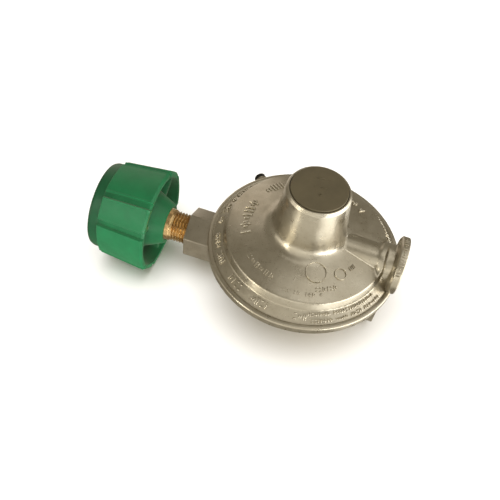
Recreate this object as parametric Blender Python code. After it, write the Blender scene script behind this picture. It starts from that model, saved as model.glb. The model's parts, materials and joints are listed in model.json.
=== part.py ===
"""Single-stage propane regulator with a hand-tightened cylinder coupling nut.

Frame: origin at the centre of the flat back face, +Z up the spring tower, +X towards the outlet
and the vent, -X towards the inlet. Lengths below are in millimetres and are scaled on building.
"""

import math

import bmesh
import bpy
from mathutils import Quaternion

MM = 0.001
GAP = 0.3                    # clearance left between touching pieces
FULL_TURN = 2.0 * math.pi

# Driving dimensions of the two die-cast shells
RIM_R = 41.5                 # outside radius of the bonnet
RIM_Z = 30.0                 # height of the bright ridge round the rim
RIM_BOTTOM_Z = 25.6          # underside of the rolled skirt
CURL_R = 38.7                # inside edge of the curl that grips the lower body
FLANGE_R = 39.9              # lower body's flange, held inside the skirt
FLANGE_TOP_Z = 28.1
FLANGE_BOTTOM_Z = 26.6
STEP_R = 34.3                # top of the steep step inside the sloping ring
STEP_Z = 36.9
DOME_EDGE_R = 33.5
DOME_EDGE_Z = 37.4
TOWER_FOOT_R = 17.0
TOWER_FOOT_Z = 42.0
TOWER_TOP_R = 13.1
TOWER_TOP_Z = 65.6
TOWER_BORE_R = 10.8
CAP_SEAT_R = 11.7
CAP_SEAT_Z = 62.6

# Ports
AXIS_Z = 15.0                # height of the inlet and outlet axis
INLET_FACE_X = -51.7
INLET_HEX_R = 11.3
OUTLET_FACE_X = 38.0
OUTLET_HEX_R = 14.5
OUTLET_BORE_R = 7.6
VENT_FACE_X = 41.3
VENT_LIP_R = 12.3
VENT_LIP_Z = 35.5
VENT_MOUTH_R = 6.5
VENT_PASSAGE_Z = 38.0
VENT_RIDGE_R = 6.5
TEST_PORT_AZIMUTH = math.radians(129.4)
TEST_PORT_Z = 22.0

# Coupling nut and inlet nipple, along the inlet axis
NUT_FRONT_X = -93.3
NUT_REAR_X = -65.9
NUT_QUARTERS = 4
NUT_GROOVE = 7.5             # degrees between two panels
NUT_PANELS = (               # middle and half width in degrees, flatness in mm, steps
    (-2.0, 24.0, 0.7, 4),
    (43.0, 13.5, 0.25, 3),
)
NUT_RIBS = 3
NUT_REAR_R = 24.0
NUT_FRONT_R = 21.9
NUT_COLLAR_R = 20.4
NUT_THREAD_R = 16.3
NUT_HUB_R = 9.0
NUT_EYE_R = 7.7
NUT_GROOVE_DEPTH = 1.3
NUT_POCKET_R = 12.0          # round pocket that takes the bushing
NUT_RECESS_R = 19.8          # cored back, at its mouth
NUT_COLLAR_LENGTH = 5.2      # plain collar before the panels begin
NUT_RECESS_X = -72.6         # floor of the cored back
NUT_POCKET_X = -75.0         # floor of the pocket that takes the bushing
NUT_SOCKET_X = -77.8         # floor of the threaded mouth
SHOULDER_X = -78.6           # rear face of the nipple's shoulder
NIPPLE_THREAD_R = 6.85
NIPPLE_SHANK_R = 7.3
NIPPLE_TURNS = 6
NIPPLE_PITCH = 1.41

# Lever mechanism
PIVOT_X = -13.7
PIVOT_Z = 9.0
SHORT_ARM = 4.6
LEVER_HALF_WIDTH = 1.4
PIN_R = 1.0
PIN_HOLE_R = 1.15

SEGMENTS_LARGE = 40
SEGMENTS_MEDIUM = 24
SEGMENTS_SMALL = 16
LYING = (0.0, math.pi / 2.0, 0.0)      # turns a piece's own +Z to world +X

MATERIALS = {
    "zinc_casting": ((0.52, 0.49, 0.43), 1.0, 0.34),
    "brass": ((0.72, 0.48, 0.20), 1.0, 0.28),
    "green_plastic": ((0.02, 0.25, 0.09), 0.0, 0.42),
    "dark_plastic": ((0.10, 0.095, 0.065), 0.0, 0.45),
    "spring_steel": ((0.42, 0.43, 0.44), 1.0, 0.30),
    "plated_steel": ((0.58, 0.56, 0.52), 1.0, 0.32),
    "black_steel": ((0.05, 0.05, 0.05), 0.7, 0.45),
    "rubber": ((0.025, 0.025, 0.025), 0.0, 0.75),
    "acetal": ((0.75, 0.73, 0.66), 0.0, 0.40),
    "bushing_plastic": ((0.55, 0.08, 0.05), 0.0, 0.45),
}


def clear_scene():
    for old in list(bpy.data.objects):
        bpy.data.objects.remove(old, do_unlink=True)


def material(name):
    found = bpy.data.materials.get(name)
    if found:
        return found
    colour, metallic, roughness = MATERIALS[name]
    made = bpy.data.materials.new(name)
    made.use_nodes = True
    shader = made.node_tree.nodes["Principled BSDF"]
    shader.inputs["Base Color"].default_value = (*colour, 1.0)
    shader.inputs["Metallic"].default_value = metallic
    shader.inputs["Roughness"].default_value = roughness
    made.diffuse_color = (*colour, 1.0)
    return made


def finish_mesh(name, bm, finish):
    """Turns a bmesh into a named object with smooth rounds and one material."""
    bmesh.ops.recalc_face_normals(bm, faces=bm.faces)
    mesh = bpy.data.meshes.new(name)
    bm.to_mesh(mesh)
    bm.free()
    mesh.shade_smooth()
    mesh.set_sharp_from_angle(angle=math.radians(35.0))
    made = bpy.data.objects.new(name, mesh)
    bpy.context.collection.objects.link(made)
    if finish:
        mesh.materials.append(material(finish))
    return made


def lay_along_x(piece):
    """Puts a piece turned round its own Z on the inlet and outlet axis."""
    piece.rotation_euler = LYING
    piece.location = (0.0, 0.0, AXIS_Z * MM)
    return piece


def turned(name, profile, finish=None, segments=SEGMENTS_SMALL):
    """A piece turned round Z from (radius, height) points; it closes on the axis or as a ring."""
    bm = bmesh.new()
    verts = [bm.verts.new((r * MM, 0.0, z * MM)) for r, z in profile]
    edges = [bm.edges.new(pair) for pair in zip(verts, verts[1:])]
    if profile[0][0] > 0.0:
        edges.append(bm.edges.new((verts[-1], verts[0])))
    bmesh.ops.spin(
        bm, geom=verts + edges, cent=(0, 0, 0), axis=(0, 0, 1),
        angle=FULL_TURN, steps=segments, use_merge=True,
    )
    bmesh.ops.remove_doubles(bm, verts=bm.verts, dist=1e-7)
    bmesh.ops.dissolve_degenerate(bm, dist=1e-7, edges=bm.edges)
    return finish_mesh(name, bm, finish)


def ring(name, inner_r, outer_r, low_z, high_z, finish=None, segments=SEGMENTS_SMALL):
    """A plain washer or tube."""
    profile = [(outer_r, high_z), (outer_r, low_z), (inner_r, low_z), (inner_r, high_z)]
    return turned(name, profile, finish, segments)


def rod(name, radius, low_z, high_z, finish=None, segments=SEGMENTS_SMALL):
    """A plain round bar on Z."""
    profile = [(0.0, high_z), (radius, high_z), (radius, low_z), (0.0, low_z)]
    return turned(name, profile, finish, segments)


def prism(name, outline, low_z, high_z, finish=None):
    """An outline of (x, y) points extruded along Z."""
    bm = bmesh.new()
    face = bm.faces.new([bm.verts.new((x * MM, y * MM, low_z * MM)) for x, y in outline])
    grown = bmesh.ops.extrude_face_region(bm, geom=[face])
    moved = [v for v in grown["geom"] if isinstance(v, bmesh.types.BMVert)]
    bmesh.ops.translate(bm, verts=moved, vec=(0.0, 0.0, (high_z - low_z) * MM))
    return finish_mesh(name, bm, finish)


def hexagon(corner_r):
    return arc(0.0, 0.0, corner_r, 0.0, FULL_TURN * 5.0 / 6.0, 5)


def arc(centre_x, centre_y, radius, start, end, steps):
    """Points round part of a circle, both ends included."""
    angles = [start + (end - start) * i / steps for i in range(steps + 1)]
    return [(centre_x + radius * math.cos(a), centre_y + radius * math.sin(a)) for a in angles]


def block(name, low, high):
    """A cutting or joining box between two corners."""
    outline = [(low[0], low[1]), (high[0], low[1]), (high[0], high[1]), (low[0], high[1])]
    return prism(name, outline, low[2], high[2])


def combine(target, tool, operation):
    """Adds a Boolean to the target and keeps the tool as a guide that isn't rendered."""
    tool.hide_render = True
    tool.display_type = "WIRE"
    step = target.modifiers.new(f"{operation.lower()}_{tool.name}", "BOOLEAN")
    step.operation = operation
    step.object = tool
    step.solver = "EXACT"


def join(target, *tools):
    for tool in tools:
        combine(target, tool, "UNION")


def cut(target, *tools):
    for tool in tools:
        combine(target, tool, "DIFFERENCE")


def coil_spring(name, mean_r, wire_r, low_z, high_z, turns, steps_per_turn, sides_level, finish):
    """A helical spring wound round Z between two heights, wire surface to wire surface."""
    curve = bpy.data.curves.new(name, "CURVE")
    curve.dimensions = "3D"
    curve.bevel_depth = wire_r * MM
    curve.bevel_resolution = sides_level
    curve.use_fill_caps = True
    count = int(turns * steps_per_turn) + 1
    spline = curve.splines.new("POLY")
    spline.points.add(count - 1)
    rise = (high_z - low_z - 2.0 * wire_r) / (count - 1)
    for i, point in enumerate(spline.points):
        angle = FULL_TURN * i / steps_per_turn
        height = low_z + wire_r + rise * i
        point.co = (mean_r * math.cos(angle) * MM, mean_r * math.sin(angle) * MM, height * MM, 1.0)
    curve.materials.append(material(finish))
    made = bpy.data.objects.new(name, curve)
    bpy.context.collection.objects.link(made)
    return made


# ---------------------------------------------------------------- lower body

def build_lower_body():
    """The cast bowl with its inlet and outlet hexagons, valve housing and lever ears."""
    shell = [
        (0.0, 0.0), (23.0, 0.0), (25.2, 1.2), (28.8, 6.0), (33.2, 14.0), (37.4, 21.5),
        (38.2, 24.0), (38.2, FLANGE_BOTTOM_Z), (FLANGE_R, FLANGE_BOTTOM_Z),
        (FLANGE_R, FLANGE_TOP_Z), (33.2, FLANGE_TOP_Z), (33.2, 22.5), (29.4, 15.0), (25.2, 7.5),
        (22.0, 3.5), (0.0, 3.5),
    ]
    body = turned("lower_body", shell, "zinc_casting", SEGMENTS_LARGE)
    under_rim = rod("tool_under_rim", RIM_R + 0.5, RIM_BOTTOM_Z - GAP, TOWER_FOOT_Z)

    inlet_hex = prism("tool_inlet_hex", hexagon(INLET_HEX_R), INLET_FACE_X, -28.5)
    outlet_hex = prism("tool_outlet_hex", hexagon(OUTLET_HEX_R), 25.0, OUTLET_FACE_X)
    for boss in (inlet_hex, outlet_hex):
        lay_along_x(boss)
        cut(boss, under_rim)
        join(body, boss)

    test_boss = rod("tool_test_boss", 2.9, 35.0, 46.8)
    housing = lay_along_x(rod("tool_valve_housing", 7.2, -34.0, -17.5, segments=24))
    rib = block("tool_housing_rib", (-24.5, -3.2, 1.5), (-18.5, 3.2, 12.0))
    join(body, point_outwards(test_boss), housing, rib)
    for side in (-1.0, 1.0):
        near, far = sorted((side * 1.8, side * 4.0))
        join(body, block(f"tool_ear_{far:.0f}", (-16.7, near, 2.0), (-10.7, far, 11.0)))

    bores = [
        rod("tool_inlet_thread", NIPPLE_THREAD_R + GAP, INLET_FACE_X - 1.0, -41.2, segments=24),
        rod("tool_filter_chamber", 4.6, -42.0, -29.5),
        rod("tool_nozzle_hole", 2.5, -30.0, -27.0),
        rod("tool_stem_guide", 3.9, -28.3, -16.5),
        rod("tool_outlet_bore", OUTLET_BORE_R, 20.0, OUTLET_FACE_X + 1.0, segments=24),
    ]
    for bore in bores:
        cut(body, lay_along_x(bore))
    cut(body, block("tool_gas_window", (-25.4, -2.0, AXIS_Z), (-20.5, 2.0, 24.0)))
    cut(body, point_outwards(rod("tool_test_bore", 1.9, 31.0, 48.0)))
    cut(body, across_lever(rod("tool_pin_hole", PIN_HOLE_R, -6.0, 6.0)))


def point_outwards(piece):
    """Turns a piece's own +Z to the test port's direction."""
    piece.rotation_euler = (0.0, math.pi / 2.0, TEST_PORT_AZIMUTH)
    piece.location = (0.0, 0.0, TEST_PORT_Z * MM)
    return piece


def across_lever(piece):
    """Puts a piece made on Z across the lever's pivot, along Y."""
    piece.rotation_euler = (math.pi / 2.0, 0.0, 0.0)
    piece.location = (PIVOT_X * MM, 0.0, PIVOT_Z * MM)
    return piece


def build_test_port_plug():
    """Small socket-headed plug that closes the pressure test port."""
    profile = [
        (0.0, 48.8), (2.0, 48.8), (2.4, 48.4), (2.4, 47.1), (1.6, 47.1), (1.6, 40.0), (0.0, 40.0),
    ]
    plug = point_outwards(turned("test_port_plug", profile, "black_steel"))
    cut(plug, point_outwards(prism("tool_plug_socket", hexagon(1.2), 47.6, 50.0)))


# ---------------------------------------------------------------- bonnet

def dome_height(radius):
    """Height of the gently crowned top between the step and the tower's foot."""
    span = 1.0 - (TOWER_FOOT_R / DOME_EDGE_R) ** 2
    return DOME_EDGE_Z + (TOWER_FOOT_Z - DOME_EDGE_Z) * (1.0 - (radius / DOME_EDGE_R) ** 2) / span


def build_bonnet():
    """The cast top: rolled rim, sloping ring, step, dome, spring tower and vent."""
    skirt_round = 1.6
    underside = arc(RIM_R - skirt_round, RIM_BOTTOM_Z + skirt_round, skirt_round,
                    -math.pi / 2.0, 0.0, 3)
    outside = [(0.0, RIM_BOTTOM_Z)] + underside + [
        (RIM_R, RIM_Z - 0.6), (RIM_R - 0.4, RIM_Z - 0.05), (RIM_R - 1.1, RIM_Z + 0.1),
        (RIM_R - 1.8, RIM_Z - 0.1), (39.1, 29.6), (38.6, 30.3), (35.3, 33.3), (34.9, 33.9),
        (STEP_R, STEP_Z), (DOME_EDGE_R, DOME_EDGE_Z),
    ]
    outside += [(r, dome_height(r)) for r in (29.0, 24.5, 20.0)]
    outside += [
        (17.6, 42.0), (16.2, 42.9), (15.4, 44.5), (15.0, 46.6), (TOWER_TOP_R, TOWER_TOP_Z - 1.4),
        (TOWER_TOP_R - 0.3, TOWER_TOP_Z - 0.5), (TOWER_TOP_R - 0.9, TOWER_TOP_Z), (0.0, TOWER_TOP_Z),
    ]
    bonnet = turned("bonnet", outside, "zinc_casting", SEGMENTS_LARGE)

    ridge = rod("tool_vent_ridge", VENT_RIDGE_R, 8.0, 36.5, segments=24)
    lip = turned("tool_vent_lip", [
        (0.0, VENT_FACE_X), (VENT_LIP_R - 0.6, VENT_FACE_X), (VENT_LIP_R, VENT_FACE_X - 0.7),
        (VENT_LIP_R, VENT_FACE_X - 3.4), (VENT_LIP_R - 1.0, VENT_FACE_X - 3.9),
        (9.0, VENT_FACE_X - 4.6), (8.0, VENT_FACE_X - 6.0), (7.8, 32.5), (0.0, 32.5),
    ], segments=SEGMENTS_MEDIUM)
    for tool, height in ((ridge, VENT_PASSAGE_Z), (lip, VENT_LIP_Z)):
        tool.rotation_euler = LYING
        tool.location = (0.0, 0.0, height * MM)
        join(bonnet, tool)

    inside = [
        (0.0, 20.0), (CURL_R, 20.0), (CURL_R, 26.3), (FLANGE_R + GAP, 26.3),
        (FLANGE_R + GAP, FLANGE_TOP_Z + GAP), (37.5, FLANGE_TOP_Z + GAP), (37.5, 29.6), (32.9, 29.6),
        (32.6, 31.5), (31.6, 35.0), (24.0, 37.4), (17.5, 39.0), (13.0, 40.6), (11.4, 42.4),
        (TOWER_BORE_R, 45.0), (TOWER_BORE_R, CAP_SEAT_Z), (CAP_SEAT_R, CAP_SEAT_Z),
        (CAP_SEAT_R, TOWER_TOP_Z + 2.0), (0.0, TOWER_TOP_Z + 2.0),
    ]
    cut(bonnet, block("tool_below_rim", (30.0, -15.0, 15.0), (45.0, 15.0, RIM_BOTTOM_Z)))
    cut(bonnet, turned("tool_bonnet_inside", inside, segments=SEGMENTS_LARGE))
    for radius, start, height in ((4.2, 12.0, VENT_PASSAGE_Z), (VENT_MOUTH_R, 38.3, VENT_LIP_Z + 0.4)):
        bore = rod(f"tool_vent_bore_{start:.0f}", radius, start, VENT_FACE_X + 2.0)
        bore.rotation_euler = LYING
        bore.location = (0.0, 0.0, height * MM)
        cut(bonnet, bore)


def build_vent_fittings():
    """Insect screen and the snap ring that holds it in the vent's mouth."""
    screen = rod("vent_screen", VENT_MOUTH_R - GAP, 38.6, 39.1, "plated_steel")
    snap = ring("vent_screen_ring", 5.0, VENT_MOUTH_R - GAP, 39.4, 40.4, "spring_steel")
    for piece in (screen, snap):
        piece.rotation_euler = LYING
        piece.location = (0.0, 0.0, (VENT_LIP_Z + 0.4) * MM)


# ---------------------------------------------------------------- tower contents

def build_closing_cap():
    """Threaded closing cap: a thin disc with a hollow skirt, over a sealing ring."""
    turned("closing_cap", [
        (0.0, 66.1), (11.0, 66.1), (11.4, 65.7), (11.4, 63.9), (10.4, 63.9), (10.4, 60.2),
        (8.8, 60.2), (8.8, 64.0), (0.0, 64.0),
    ], "dark_plastic", SEGMENTS_MEDIUM)
    ring("cap_gasket", 10.7, 11.4, 62.9, 63.6, "rubber", SEGMENTS_MEDIUM)


def build_adjuster():
    """Adjusting screw with its hexagon socket, and the button that presses on the spring."""
    screw = turned("adjusting_screw", [
        (10.0, 57.3), (10.5, 56.8), (10.5, 52.8), (10.0, 52.3), (3.0, 52.3), (3.0, 57.3),
    ], "brass", SEGMENTS_MEDIUM)
    cut(screw, prism("tool_screw_socket", hexagon(5.5), 54.3, 60.0))
    turned("spring_button", [
        (9.3, 52.0), (9.3, 51.0), (6.4, 51.0), (6.4, 49.0), (5.2, 49.0), (5.2, 50.6), (3.2, 50.6),
        (3.2, 52.0),
    ], "plated_steel", SEGMENTS_MEDIUM)
    coil_spring("main_spring", 8.0, 0.9, 30.7, 50.7, 6.5, 14, 0, "spring_steel")


def build_diaphragm():
    """Rubber diaphragm with one rolled fold, and the pressed plate that backs it."""
    fold_centre = 29.2
    fold_r = 2.5
    thick = 0.9
    top = [(2.3, 29.2), (26.4, 29.2)]
    top += arc(fold_centre, 29.0, fold_r - thick, math.pi, FULL_TURN, 6)
    top += [(33.2, 29.3), (37.2, 29.3)]
    under = [(37.2, 28.4), (33.0, 28.4)]
    under += arc(fold_centre, 28.3, fold_r, FULL_TURN, math.pi, 6)
    under += [(2.3, 28.3)]
    turned("diaphragm", top + under, "rubber", SEGMENTS_MEDIUM)
    turned("diaphragm_plate", [
        (24.0, 32.0), (24.0, 29.5), (2.3, 29.5), (2.3, 30.4), (9.4, 30.4), (9.4, 31.6),
        (10.2, 31.6), (10.2, 30.4), (23.2, 30.4), (23.2, 32.0),
    ], "plated_steel", SEGMENTS_MEDIUM)


def build_relief_valve():
    """Stem that joins the diaphragm to the lever, and the relief spring above the diaphragm."""
    stem = turned("relief_stem", [
        (0.0, 44.0), (1.6, 44.0), (1.9, 43.7), (1.9, 28.0), (6.0, 28.0), (6.0, 26.6), (2.6, 26.6),
        (2.6, 5.8), (2.0, 5.2), (0.0, 5.2),
    ], "acetal")
    low = PIVOT_Z - 1.4
    high = PIVOT_Z + 1.4
    cut(stem, block("tool_stem_window", (-4.0, -1.7, low), (4.0, 1.7, high)))
    coil_spring("relief_spring", 3.3, 0.45, 30.7, 41.3, 6.0, 12, 0, "spring_steel")
    ring("relief_retainer", 2.2, 4.3, 41.6, 43.0, "plated_steel")


# ---------------------------------------------------------------- valve and lever

def lever_outline():
    """Side view of the bell-crank lever round its pivot: +X is the long arm, +Y the short one."""
    long_arm = -PIVOT_X
    boss_r = 2.2
    half_long = 0.8
    half_short = 0.9
    tip_r = 1.0
    long_in = math.asin(half_long / tip_r)
    short_in = math.acos(half_short / tip_r)
    boss_low = math.asin(half_long / boss_r)
    boss_high = math.acos(half_short / boss_r)
    outline = arc(long_arm, 0.0, tip_r, long_in - math.pi, math.pi - long_in, 8)
    outline += arc(0.0, 0.0, boss_r, boss_low, boss_high, 2)
    outline += arc(0.0, SHORT_ARM, tip_r, -short_in, math.pi + short_in, 8)
    outline += arc(0.0, 0.0, boss_r, math.pi - boss_high, FULL_TURN - boss_low, 8)
    return outline


def build_lever():
    lever = across_lever(
        prism("lever", lever_outline(), -LEVER_HALF_WIDTH, LEVER_HALF_WIDTH, "plated_steel"))
    cut(lever, across_lever(rod("tool_lever_hole", PIN_HOLE_R, -3.0, 3.0)))
    across_lever(rod("lever_pin", PIN_R, -5.0, 5.0, "spring_steel"))


def build_inlet_valve():
    """Orifice, its filter, and the sliding stem that carries the rubber seat."""
    lay_along_x(turned("inlet_orifice", [
        (2.2, -25.8), (2.2, -29.8), (4.3, -29.8), (4.3, -33.5), (0.9, -33.5), (0.9, -25.8),
    ], "brass"))
    lay_along_x(turned("inlet_filter", [
        (0.0, -40.5), (4.1, -40.5), (4.1, -34.0), (3.6, -34.0), (3.6, -40.0), (0.0, -40.0),
    ], "brass"))
    lay_along_x(rod("seat_disc", 2.7, -24.9, -22.9, "rubber"))
    stem = lay_along_x(turned("valve_stem", [
        (0.0, -9.8), (3.2, -9.8), (3.6, -10.2), (3.6, -24.3), (3.0, -24.3), (3.0, -22.6), (0.0, -22.6),
    ], "acetal"))
    half_slot = 1.4
    cut(stem, block("tool_stem_slot", (PIVOT_X - half_slot, -1.8, 9.0),
                    (PIVOT_X + half_slot, 1.8, AXIS_Z)))


# ---------------------------------------------------------------- inlet coupling

def build_nipple():
    """Brass nipple: sealing nose, shoulder, plain shank and the thread ridges by the hexagon."""
    thread_start = -60.0
    profile = [(2.8, -42.0), (NIPPLE_THREAD_R - 0.5, -42.0), (NIPPLE_THREAD_R, -42.6)]
    crest = NIPPLE_THREAD_R
    for turn in range(NIPPLE_TURNS):
        ridge_x = INLET_FACE_X + 0.2 - turn * NIPPLE_PITCH
        profile += [(crest, ridge_x), (crest - 0.75, ridge_x - NIPPLE_PITCH / 2.0)]
    profile += [
        (crest, thread_start), (NIPPLE_SHANK_R, thread_start - 0.4),
        (NIPPLE_SHANK_R, SHOULDER_X), (11.0, SHOULDER_X), (11.0, SHOULDER_X - 2.4),
        (7.9, SHOULDER_X - 2.4), (7.9, -85.6), (7.2, -87.4), (5.8, -88.5),
        (4.8, -88.5), (4.8, -74.0), (2.8, -74.0),
    ]
    lay_along_x(turned("inlet_nipple", profile, "brass", SEGMENTS_MEDIUM))


def build_excess_flow_valve():
    """Poppet, spring and snap ring inside the nipple's nose."""
    lay_along_x(turned("excess_flow_poppet", [
        (0.0, -70.0), (1.6, -70.0), (1.6, -82.0), (3.6, -82.0), (4.2, -82.6), (3.4, -84.0), (0.0, -84.6),
    ], "acetal"))
    spring = coil_spring("excess_flow_spring", 3.2, 0.3, -81.7, -74.3, 5.0, 12, 0, "spring_steel")
    lay_along_x(spring)
    lay_along_x(ring("poppet_retainer", 3.2, 4.5, -86.6, -85.6, "spring_steel"))


def nut_ring(radius, panelled):
    """One cross-section of the nut as (angle, radius); grooves run between the broad panels."""
    sink = NUT_GROOVE_DEPTH if panelled else 0.0
    points = []
    for quarter in range(NUT_QUARTERS):
        for centre, half, flatness, steps in NUT_PANELS:
            middle = centre + quarter * 360.0 / NUT_QUARTERS
            for i in range(steps + 1):
                across = 2.0 * i / steps - 1.0
                dip = flatness * (1.0 - across * across) if panelled else 0.0
                points.append((math.radians(middle + half * across), radius - dip))
            points.append((math.radians(middle + half + 1.0), radius - sink))
            points.append((math.radians(middle + half + NUT_GROOVE - 1.0), radius - sink))
    return points


def lofted(name, sections, finish):
    """Joins rings of (angle, radius) at their heights into one closed tube and caps nothing."""
    bm = bmesh.new()
    rings = []
    for points, height in sections:
        rings.append([
            bm.verts.new((r * math.cos(a) * MM, r * math.sin(a) * MM, height * MM))
            for a, r in points
        ])
    for lower, upper in zip(rings, rings[1:] + rings[:1]):
        count = len(lower)
        for i in range(count):
            j = (i + 1) % count
            bm.faces.new((lower[i], lower[j], upper[j], upper[i]))
    return finish_mesh(name, bm, finish)


def build_coupling_nut():
    """Hand-tightened plastic nut: panelled outside, threaded mouth, cored and ribbed back."""
    sections = [
        (nut_ring(NUT_COLLAR_R - 0.9, False), NUT_FRONT_X),
        (nut_ring(NUT_COLLAR_R, False), NUT_FRONT_X + 0.9),
        (nut_ring(NUT_COLLAR_R + 0.2, False), NUT_FRONT_X + NUT_COLLAR_LENGTH),
        (nut_ring(NUT_FRONT_R, True), NUT_FRONT_X + NUT_COLLAR_LENGTH + 0.8),
        (nut_ring(NUT_REAR_R, True), NUT_REAR_X - 1.6),
        (nut_ring(NUT_REAR_R - 1.7, True), NUT_REAR_X),
        (nut_ring(NUT_RECESS_R, False), NUT_REAR_X),
        (nut_ring(NUT_RECESS_R - 0.6, False), NUT_RECESS_X),
        (nut_ring(NUT_HUB_R, False), NUT_RECESS_X),
        (nut_ring(NUT_HUB_R - 0.2, False), NUT_REAR_X + 0.9),
        (nut_ring(NUT_EYE_R, False), NUT_REAR_X + 0.9),
        (nut_ring(NUT_EYE_R, False), NUT_POCKET_X),
        (nut_ring(NUT_POCKET_R, False), NUT_POCKET_X),
        (nut_ring(NUT_POCKET_R, False), NUT_SOCKET_X),
        (nut_ring(NUT_THREAD_R, False), NUT_SOCKET_X),
        (nut_ring(NUT_THREAD_R, False), NUT_FRONT_X + 1.0),
        (nut_ring(NUT_THREAD_R + 1.0, False), NUT_FRONT_X),
    ]
    nut = lay_along_x(lofted("coupling_nut", sections, "green_plastic"))
    rib_half = 1.3
    for i in range(NUT_RIBS):
        rib = block(f"tool_nut_rib_{i}", (NUT_HUB_R - 0.8, -rib_half, NUT_RECESS_X - 0.4),
                    (NUT_RECESS_R + 0.4, rib_half, NUT_REAR_X - 2.0))
        rib.rotation_mode = "QUATERNION"
        rib.rotation_quaternion = tilt_about_axis(i * FULL_TURN / NUT_RIBS)
        rib.location = (0.0, 0.0, AXIS_Z * MM)
        join(nut, rib)


def tilt_about_axis(angle):
    """Rotation that lays +Z along +X and then turns by an angle about it."""
    return Quaternion((1.0, 0.0, 0.0), angle) @ Quaternion((0.0, 1.0, 0.0), math.pi / 2.0)


def build_thermal_bushing():
    """Heat-sensitive collar between the nut and the nipple's shoulder."""
    lay_along_x(ring("thermal_bushing", NIPPLE_SHANK_R + GAP, NUT_POCKET_R - GAP,
                     SHOULDER_X + GAP, NUT_POCKET_X - GAP, "bushing_plastic", SEGMENTS_MEDIUM))


def main():
    clear_scene()
    build_lower_body()
    build_test_port_plug()
    build_bonnet()
    build_vent_fittings()
    build_closing_cap()
    build_adjuster()
    build_diaphragm()
    build_relief_valve()
    build_lever()
    build_inlet_valve()
    build_nipple()
    build_excess_flow_valve()
    build_thermal_bushing()
    build_coupling_nut()


main()
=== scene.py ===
"""Looks of the propane regulator and its coupling nut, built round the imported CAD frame.

Lengths are in millimetres in the frame's own axes: +Z up the spring tower, +X towards the vent and
the outlet, -X towards the inlet. Each shape is made in code and scaled to metres on building.
"""
import json
import math
from math import cos, radians, sin

import bmesh
import bpy
import numpy as np
from mathutils import Matrix, Vector


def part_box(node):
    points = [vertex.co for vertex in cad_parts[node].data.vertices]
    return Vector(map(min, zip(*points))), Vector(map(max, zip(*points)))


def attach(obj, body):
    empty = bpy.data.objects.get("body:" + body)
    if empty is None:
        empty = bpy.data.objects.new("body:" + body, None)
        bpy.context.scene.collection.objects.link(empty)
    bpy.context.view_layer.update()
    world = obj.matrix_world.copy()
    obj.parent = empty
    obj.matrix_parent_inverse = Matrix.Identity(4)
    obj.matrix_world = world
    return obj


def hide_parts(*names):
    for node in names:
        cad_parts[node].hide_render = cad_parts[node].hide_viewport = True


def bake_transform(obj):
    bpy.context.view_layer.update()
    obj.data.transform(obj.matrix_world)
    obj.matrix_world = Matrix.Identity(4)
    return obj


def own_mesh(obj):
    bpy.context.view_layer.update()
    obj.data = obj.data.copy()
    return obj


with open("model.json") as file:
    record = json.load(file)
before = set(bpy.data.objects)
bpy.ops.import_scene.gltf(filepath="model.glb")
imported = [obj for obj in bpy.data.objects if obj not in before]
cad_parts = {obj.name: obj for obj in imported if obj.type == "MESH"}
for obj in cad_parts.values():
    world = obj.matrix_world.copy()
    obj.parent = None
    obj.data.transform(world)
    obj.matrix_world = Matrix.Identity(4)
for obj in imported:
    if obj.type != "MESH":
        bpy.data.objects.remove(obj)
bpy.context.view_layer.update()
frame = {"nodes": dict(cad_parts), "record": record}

MM = 0.001
FULL_TURN = 2.0 * math.pi


def limits(node):
    """Lowest and highest corners of a CAD node, in millimetres."""
    low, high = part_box(node)
    return [v / MM for v in low], [v / MM for v in high]


BONNET_LOW, BONNET_HIGH = limits("bonnet")
BODY_LOW = limits("lower_body")[0]
NUT_LOW, NUT_HIGH = limits("coupling_nut")
NIPPLE_LOW, NIPPLE_HIGH = limits("inlet_nipple")
CAP_HIGH = limits("closing_cap")[1]
SCREEN_LOW, SCREEN_HIGH = limits("vent_screen")

AXIS_Z = (NIPPLE_LOW[2] + NIPPLE_HIGH[2]) / 2.0  # inlet and outlet axis
RIM_R = BONNET_HIGH[1]
SKIRT_Z = BONNET_LOW[2]  # underside of the bonnet's skirt
TOWER_TOP_Z = BONNET_HIGH[2]
NUT_FRONT_X = NUT_LOW[0]
SHOULDER_X = NIPPLE_LOW[0] + 9.9  # rear face of the nipple's shoulder
INLET_FACE_X = BODY_LOW[0]
OUTLET_FACE_X = INLET_FACE_X + 89.7
MOUTH_Z = (SCREEN_LOW[2] + SCREEN_HIGH[2]) / 2.0
LIP_Z = MOUTH_Z - 0.4  # axis of the vent's round flange
LIP_R = 12.3
LIP_FACE_X = 41.3
TEST_PORT_AZIMUTH = radians(129.4)
TEST_PORT_Z = 22.0
INLET_HEX_R = 11.3  # over the corners
OUTLET_HEX_R = 14.5


# ---- mesh helpers

def rounded(corners, degrees_per_step=11.0):
    """Points of an outline from corners (u, v) or (u, v, fillet radius)."""
    points = []
    last = len(corners) - 1
    for i, corner in enumerate(corners):
        here = Vector(corner[:2])
        radius = corner[2] if len(corner) > 2 else 0.0
        if radius == 0.0 or i in (0, last):
            points.append(here)
            continue
        back = (Vector(corners[i - 1][:2]) - here).normalized()
        ahead = (Vector(corners[i + 1][:2]) - here).normalized()
        half = back.angle(ahead) / 2.0
        turn = math.pi - 2.0 * half
        centre = here + (back + ahead).normalized() * radius / sin(half)
        start = here + back * radius / math.tan(half) - centre
        side = 1.0 if back.cross(ahead) < 0.0 else -1.0
        steps = max(2, math.ceil(math.degrees(turn) / degrees_per_step))
        for k in range(steps + 1):
            points.append(centre + Matrix.Rotation(side * turn * k / steps, 2) @ start)
    return [(p.x, p.y) for p in points]


def dense(points, longest):
    """Splits the long straight stretches of an outline."""
    made = [points[0]]
    for (u0, v0), (u1, v1) in zip(points, points[1:]):
        count = max(1, math.ceil(math.hypot(u1 - u0, v1 - v0) / longest))
        for k in range(1, count + 1):
            made.append((u0 + (u1 - u0) * k / count, v0 + (v1 - v0) * k / count))
    return made


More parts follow.
